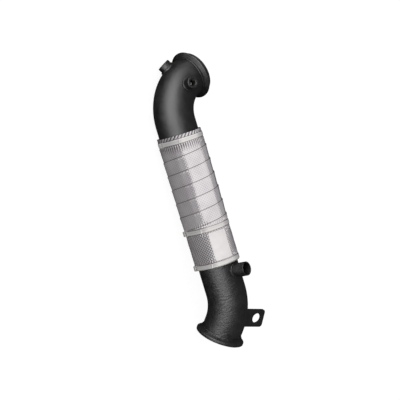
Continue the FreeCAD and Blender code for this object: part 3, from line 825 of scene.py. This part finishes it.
    def build_sleeve(self, material: Material) -> None:
        """The lower sleeve: a plain profile turned round the run and embossed."""
        length = self.sleeve_end - self.sleeve_start
        count = round(length / self.row)
        points = [(self.sleeve_start + length * number / count, self.radius, 0) for number in range(count + 1)]
        sleeve = draw_profile("foil_sleeve", points, closed=False)
        turn_profile(sleeve, self.divisions)
        merge_close(sleeve, FOIL_MERGE)
        self.finish_foil(sleeve, self.emboss_sleeve, material, "lower_foil_sleeve")

    def build(self) -> None:
        """Build both pieces of foil."""
        material = self.finish.make()
        self.build_wrap(material)
        self.build_sleeve(material)


# The steel bands


@dataclass(frozen=True)
class BandPlace:
    """Where one band sits: place along the run, and clock angle of its buckle."""

    prefix: str
    station: float
    clock: float

    def matrix(self) -> Matrix:
        """The band's own frame on the lying pipe, in metres."""
        turn = Matrix.Rotation(math.radians(self.clock), 4, "X")
        return POSE.matrix() @ (Matrix.Translation((self.station * MM, 0, 0)) @ turn)


@dataclass
class Bands:
    """Steel bands round the shield: a crowned strip, its doubled tail with a rolled tip, and a folded buckle."""

    places: tuple[BandPlace, ...] = (
        BandPlace("top_band", PATTERN.bands[0], 31.0),
        BandPlace("middle_band", PATTERN.bands[1], 18.6),
        BandPlace("bottom_band", PATTERN.bands[2], 20.8),
    )
    inner: float = 42.7
    thickness: float = 0.6
    width: float = 7.9
    crown: float = 0.14
    edge: float = 0.14
    across: tuple[float, ...] = (-1, -0.95, -0.6, -0.2, 0.2, 0.6, 0.95, 1)
    steps: int = 180
    tail_lift: float = 0.02
    clock_from: float = -60.0
    curl_start: float = 55.0
    curl_radius: float = 1.5
    curl_turn: float = 250.0
    roof: float = 47.35
    wall: float = 0.8
    play: float = 0.1
    fold: float = 0.7
    fold_middle: float = 0.3
    foot: float = 42.35
    length: float = 9.6
    bevel: float = 0.14
    bevel_angle: float = 40.0
    crease: float = 35.0

    @property
    def tail_middle(self) -> float:
        """Radius of the middle of the tail's sheet."""
        return self.inner + self.thickness * 1.5

    def section(self, inner: float) -> list[Triple]:
        """Section of the strip: crowned, with its edges broken.

        Args:
            inner: Radius of its inner edge.

        Returns:
            Triples at the band's clock zero.
        """
        half = self.width / 2
        upper = []
        lower = []
        for share in self.across:
            rise = self.crown * (1 - share * share)
            broken = self.edge if abs(share) == 1 else 0
            upper.append((share * half, inner + self.thickness + rise - broken, 0))
            lower.append((share * half, inner + rise + broken, 0))
        return upper + lower[::-1]

    def curl(self, spot: Vector) -> Vector:
        """Place of a vertex once the tail's tip is rolled up, away from the pipe."""
        clock = (clock_of(spot) - self.clock_from) % 360 + self.clock_from
        if clock <= self.curl_start:
            return spot
        turn = math.radians(clock - self.curl_start) * self.tail_middle / self.curl_radius
        height = math.hypot(spot.y, spot.z) - self.tail_middle
        start = math.radians(self.curl_start)
        out = Vector((0, math.cos(start), math.sin(start)))
        onward = Vector((0, -math.sin(start), math.cos(start)))
        centre = out * (self.tail_middle + self.curl_radius)
        rolled = centre + (onward * math.sin(turn) - out * math.cos(turn)) * (self.curl_radius - height)
        return Vector((spot.x, rolled.y, rolled.z))

    def model_strip(self) -> Piece:
        """The strip once round the foil, with its tail laid over it, in the band's own frame."""
        strip = draw_profile("strip", self.section(self.inner), closed=True)
        turn_profile(strip, self.steps)
        outward(strip)
        tail = draw_profile("tail", self.section(self.inner + self.thickness + self.tail_lift), closed=True)
        reach = self.curl_start + self.curl_turn * self.curl_radius / self.tail_middle
        turn_profile(tail, self.steps, degrees=reach)
        fill_ends(tail)
        outward(tail)
        move_vertices(tail, self.curl)
        activate(strip)
        tail.select_set(True)
        bpy.ops.object.join()
        smooth(strip, self.crease)
        return strip

    def model_channel(self) -> Piece:
        """Buckle folded over the strip: its section drawn, filled and extruded, in the band's own frame."""
        inside = self.width / 2 + self.play
        side = inside + self.wall
        back = -self.length / 2
        part = self.fold_middle * self.fold
        outer = [(side, self.foot), (side, self.roof - self.fold), (side - part, self.roof - part),
                 (side - self.fold, self.roof)]
        inner = [(inside, self.roof - self.wall), (inside, self.foot)]
        outline = [(-x, y, back) for x, y in outer] + [(x, y, back) for x, y in outer[::-1]]
        outline += [(x, y, back) for x, y in inner[::-1]] + [(-x, y, back) for x, y in inner]
        channel = draw_profile("channel", outline, closed=True)
        edit(channel)
        bpy.ops.mesh.select_all(action="SELECT")
        bpy.ops.mesh.edge_face_add()
        bpy.ops.mesh.extrude_region_move(TRANSFORM_OT_translate={"value": (0, 0, self.length * MM)})
        done()
        outward(channel)
        apply_modifier(channel, "BEVEL", width=self.bevel * MM, segments=2, limit_method="ANGLE",
                       angle_limit=math.radians(self.bevel_angle))
        smooth(channel, self.crease)
        return channel

    def build(self, material: Material) -> None:
        """Model the strip and the buckle once, and put a copy of both at each band's place."""
        strip = self.model_strip()
        channel = self.model_channel()
        for place in self.places:
            for model, name, node in ((strip, "_strip", "_strap"), (channel, "_channel", "_buckle")):
                piece = copy_of(model, place.prefix + name)
                settle(piece, place.matrix())
                dress(piece, material, (place.prefix + node,))
        for model in (strip, channel):
            bpy.data.meshes.remove(model.data)


# Sensor threads


@dataclass
class SensorThread:
    """Thread of a sensor bung, standing a little proud of its bore."""

    name: str
    bore: float
    pitch: float
    depth: float
    base: Triple
    axis: Triple
    crest: float = 0.42
    root: float = 0.05
    steps: int = 48
    crease: float = 40.0

    def build(self, material: Material) -> None:
        """Screw one crest's profile up the bore."""
        wall = self.bore / 2 + self.root
        quarter = self.pitch / 4
        points = [(0, wall, 0), (quarter, wall - self.crest, 0), (2 * quarter, wall - self.crest, 0),
                  (3 * quarter, wall, 0)]
        thread = draw_profile(self.name, points, closed=True)
        turn_profile(thread, self.steps, advance=self.pitch, turns=int(self.depth / self.pitch))
        fill_ends(thread)
        outward(thread)
        smooth(thread, self.crease)
        turn = Vector((1, 0, 0)).rotation_difference(Vector(self.axis)).to_matrix().to_4x4()
        settle(thread, Matrix.Translation(Vector(self.base) * MM) @ turn)
        dress(thread, material)


# The studio


@dataclass(frozen=True)
class Softbox:
    """Lamp that faces the pipe. Its turn is in degrees from the camera to the picture's left."""

    name: str
    turn: float
    distance: float
    size: Pair
    radiance: float
    raised: float = 0


@dataclass(frozen=True)
class Card:
    """Dark card that only reflections see."""

    name: str
    shade: str
    size: Pair


@dataclass
class Studio:
    """Camera at the photograph's angle, pale floor, soft lamps and dark cards, in metres."""

    middle: Triple = (-0.2320, 0.0546, -0.0045)
    toward: Triple = (0.1570, 0.7390, 0.6552)
    up: Triple = (0.9613, -0.2664, 0.0701)
    distance: float = 3.0
    width: float = 0.756
    sensor: float = 36.0
    front: Softbox = Softbox("front softbox", 11, 4.2, (4.2, 5.0), 1.05)
    coating: Softbox = Softbox("coating softbox", 17, 2.6, (3.3, 8.6), 32.0, raised=3.0)
    world_strength: float = 0.55
    floor_size: float = 30.0
    floor_paint: str = "e6e6e6"
    floor_shadow: float = 0.22
    floor_glow: float = 0.9
    card_lift: float = 0.0005
    floor_card: Card = Card("floor card", "2a2a2e", (2.7, 8.0))
    floor_corner: Pair = (-1.5, -4.0)
    side_card: Card = Card("side card", "727276", (4.0, 2.9495))
    side_corner: Pair = (-2.5, 4.0)
    back_card: Card = Card("back card", "959598", (3.5, 5.0))
    back_turn: float = -135.0
    back_distance: float = 2.5

    def right(self) -> Vector:
        """Direction to the picture's right."""
        return Vector(self.up).cross(Vector(self.toward)).normalized()

    def heading(self, turn: float) -> Vector:
        """Direction turned from the camera towards the picture's left, in degrees."""
        angle = math.radians(turn)
        return Vector(self.toward).normalized() * math.cos(angle) - self.right() * math.sin(angle)

    def build_camera(self) -> None:
        """Camera far off with a long lens, as flat as the photograph."""
        data = bpy.data.cameras.new("camera")
        data.sensor_width = self.sensor
        data.sensor_fit = "HORIZONTAL"
        data.lens = self.sensor * self.distance / self.width
        camera = bpy.data.objects.new("camera", data)
        bpy.context.scene.collection.objects.link(camera)
        toward = Vector(self.toward).normalized()
        up = toward.cross(self.right()).normalized()
        turn = Matrix((self.right(), up, toward)).transposed().to_4x4()
        camera.matrix_world = Matrix.Translation(Vector(self.middle) + toward * self.distance) @ turn
        bpy.context.scene.camera = camera

    def hang(self, box: Softbox) -> Piece:
        """Hang a softbox so that it faces the pipe."""
        data = bpy.data.lights.new(box.name, "AREA")
        data.shape = "RECTANGLE"
        data.size, data.size_y = box.size
        data.energy = box.radiance * math.pi * box.size[0] * box.size[1]
        lamp = bpy.data.objects.new(box.name, data)
        bpy.context.scene.collection.objects.link(lamp)
        toward = self.heading(box.turn)
        side = Vector(self.up).cross(toward).normalized()
        along = toward.cross(side).normalized()
        spot = Vector(self.middle) + toward * box.distance + Vector(self.up) * box.raised
        lamp.matrix_world = Matrix.Translation(spot) @ Matrix((side, along, toward)).transposed().to_4x4()
        return lamp

    def build_lamps(self, coated: list[Piece]) -> None:
        """Hang both softboxes.

        Args:
            coated: The black pieces, which have a softbox of their own.
        """
        # The foil already mirrors the white studio, so this lamp's own mirror image would burn it out
        self.hang(self.front).visible_glossy = False
        # The black pieces mirror this one as a broad grey highlight, and nothing else is lit by it
        own = self.hang(self.coating)
        own.visible_diffuse = False
        lit = bpy.data.collections.new("lit by " + own.name)
        for piece in coated:
            lit.objects.link(piece)
        own.light_linking.receiver_collection = lit

    def put_card(self, design: Card, corner: Vector, across: Vector, along: Vector) -> None:
        """Put a card up.

        Args:
            design: The card's name, shade and size.
            corner: One of its corners.
            across: Direction of its width from that corner.
            along: Direction of its length from that corner.
        """
        width, length = across * design.size[0], along * design.size[1]
        deselect_all()
        bpy.ops.mesh.primitive_plane_add(size=1)
        card = bpy.context.object
        card.name = design.name
        corners = (corner, corner + width, corner + length, corner + width + length)
        for vertex, place in zip(card.data.vertices, corners):
            vertex.co = place
        material, tree = new_material(design.name)
        add_node(tree, "OutputMaterial", add_node(tree, "Emission", linear(design.shade), 1.0))
        card.data.materials.append(material)
        card.visible_camera = card.visible_diffuse = False
        card.visible_shadow = card.visible_transmission = False
        card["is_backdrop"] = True

    def build_cards(self, floor_height: float) -> None:
        """Put up the cards that the foil and the tube mirror.

        Args:
            floor_height: Height of the floor.
        """
        low = floor_height + self.card_lift
        across = Vector((1, 0, 0))
        self.put_card(self.floor_card, Vector((*self.floor_corner, low)), across, Vector((0, 1, 0)))
        # The line where this card ends, 36 degrees up, is the foil's straight edge between its dark and bright parts
        self.put_card(self.side_card, Vector((*self.side_corner, low)), across, Vector((0, 0, 1)))
        width, length = self.back_card.size
        behind = Vector(self.middle) + self.heading(self.back_turn) * self.back_distance
        side = self.heading(self.back_turn + 90)
        along = Vector(self.up)
        self.put_card(self.back_card, behind - side * width / 2 - along * length / 2, side, along)

    def seen_directly(self, tree: Tree) -> Node:
        """1 for camera, glossy and transmission rays, 0 for the rest."""
        path = add_node(tree, "LightPath").outputs
        glossy = add_node(tree, "Math", path["Is Camera Ray"], path["Is Glossy Ray"], operation="MAXIMUM")
        return add_node(tree, "Math", glossy, path["Is Transmission Ray"], operation="MAXIMUM")

    def build_floor(self, height: float) -> None:
        """Pale floor at a height, which keeps a faint shadow."""
        deselect_all()
        bpy.ops.mesh.primitive_plane_add(size=self.floor_size, location=(0, 0, height))
        floor = bpy.context.object
        floor.name = "floor"
        bpy.ops.object.transform_apply(location=True, rotation=True, scale=True)
        material, tree = new_material("pale floor")
        paint = add_node(tree, "BsdfDiffuse", linear(self.floor_paint))
        soft = add_node(tree, "BsdfDiffuse", (*[self.floor_shadow] * 3, 1))
        both = add_node(tree, "AddShader", soft, add_node(tree, "Emission", WHITE, self.floor_glow))
        mix = add_node(tree, "MixShader", self.seen_directly(tree), paint, both)
        add_node(tree, "OutputMaterial", mix)
        floor.data.materials.append(material)
        floor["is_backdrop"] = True

    def build_world(self) -> None:
        """White where it is seen or mirrored, a softer grey as light."""
        world = bpy.data.worlds.new("studio")
        bpy.context.scene.world = world
        world.use_nodes = True
        tree = world.node_tree
        tree.nodes.clear()
        fill = add_node(tree, "Background", WHITE, self.world_strength)
        white = add_node(tree, "Background", WHITE, 1.0)
        add_node(tree, "OutputWorld", add_node(tree, "MixShader", self.seen_directly(tree), fill, white))

    def build(self, floor_height: float, coated: list[Piece]) -> None:
        """Build the whole studio.

        Args:
            floor_height: Height of the floor.
            coated: The black pieces, which have a softbox of their own.
        """
        self.build_camera()
        self.build_floor(floor_height)
        self.build_world()
        self.build_lamps(coated)
        self.build_cards(floor_height)
        bpy.context.scene.view_settings.view_transform = "Standard"


COATED = ("bent_tube", "inlet_flange", "outlet_flange", "inlet_weld", "outlet_weld", "front_sensor_bung",
          "front_bung_weld", "rear_sensor_bung", "rear_bung_weld", "side_port", "side_port_weld",
          "mounting_bracket", "bracket_weld")
BALLS = ("top_band_ball", "middle_band_ball", "bottom_band_ball")
THREADS = (
    SensorThread("front_thread", 12.5, 1.9, 13.5, (-11.665, 50.793, 31.784), (0.1544977, 0.23342617, 0.96002223)),
    SensorThread("rear_thread", 16.4, 2.1, 8.6, (23.415, 41.990, -20.871), (0.82819222, 0.36212183, -0.42774459)),
)


def finish_nodes(nodes: dict[str, Piece], steel: Material) -> None:
    """Give the CAD nodes that stay their finishes.

    Args:
        nodes: The frame's objects by name.
        steel: Finish of the bands.
    """
    finishes = {
        COATED: SatinCoating().make(),
        BALLS: steel,
        ("blank_label",): RolledFoil().make(),
        ("insulation_blanket",): FibreBlanket().make(),
    }
    for names, material in finishes.items():
        for name in names:
            mesh = nodes[name].data
            mesh.materials.clear()
            mesh.materials.append(material)
            LOG.info("%s: CAD node in %s", name, material.name)


def main() -> None:
    """Dress the pipe, then build the studio round it."""
    logging.basicConfig(level=logging.INFO, format="%(message)s")
    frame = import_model()
    cad_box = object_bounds()
    steel = BandSteel().make()
    finish_nodes(frame["nodes"], steel)
    Shield().build()
    Bands().build(steel)
    turned = MachinedSteel().make()
    for thread in THREADS:
        thread.build(turned)
    Studio().build(cad_box[0][2], [frame["nodes"][name] for name in COATED])


if __name__ == "__main__":
    main()
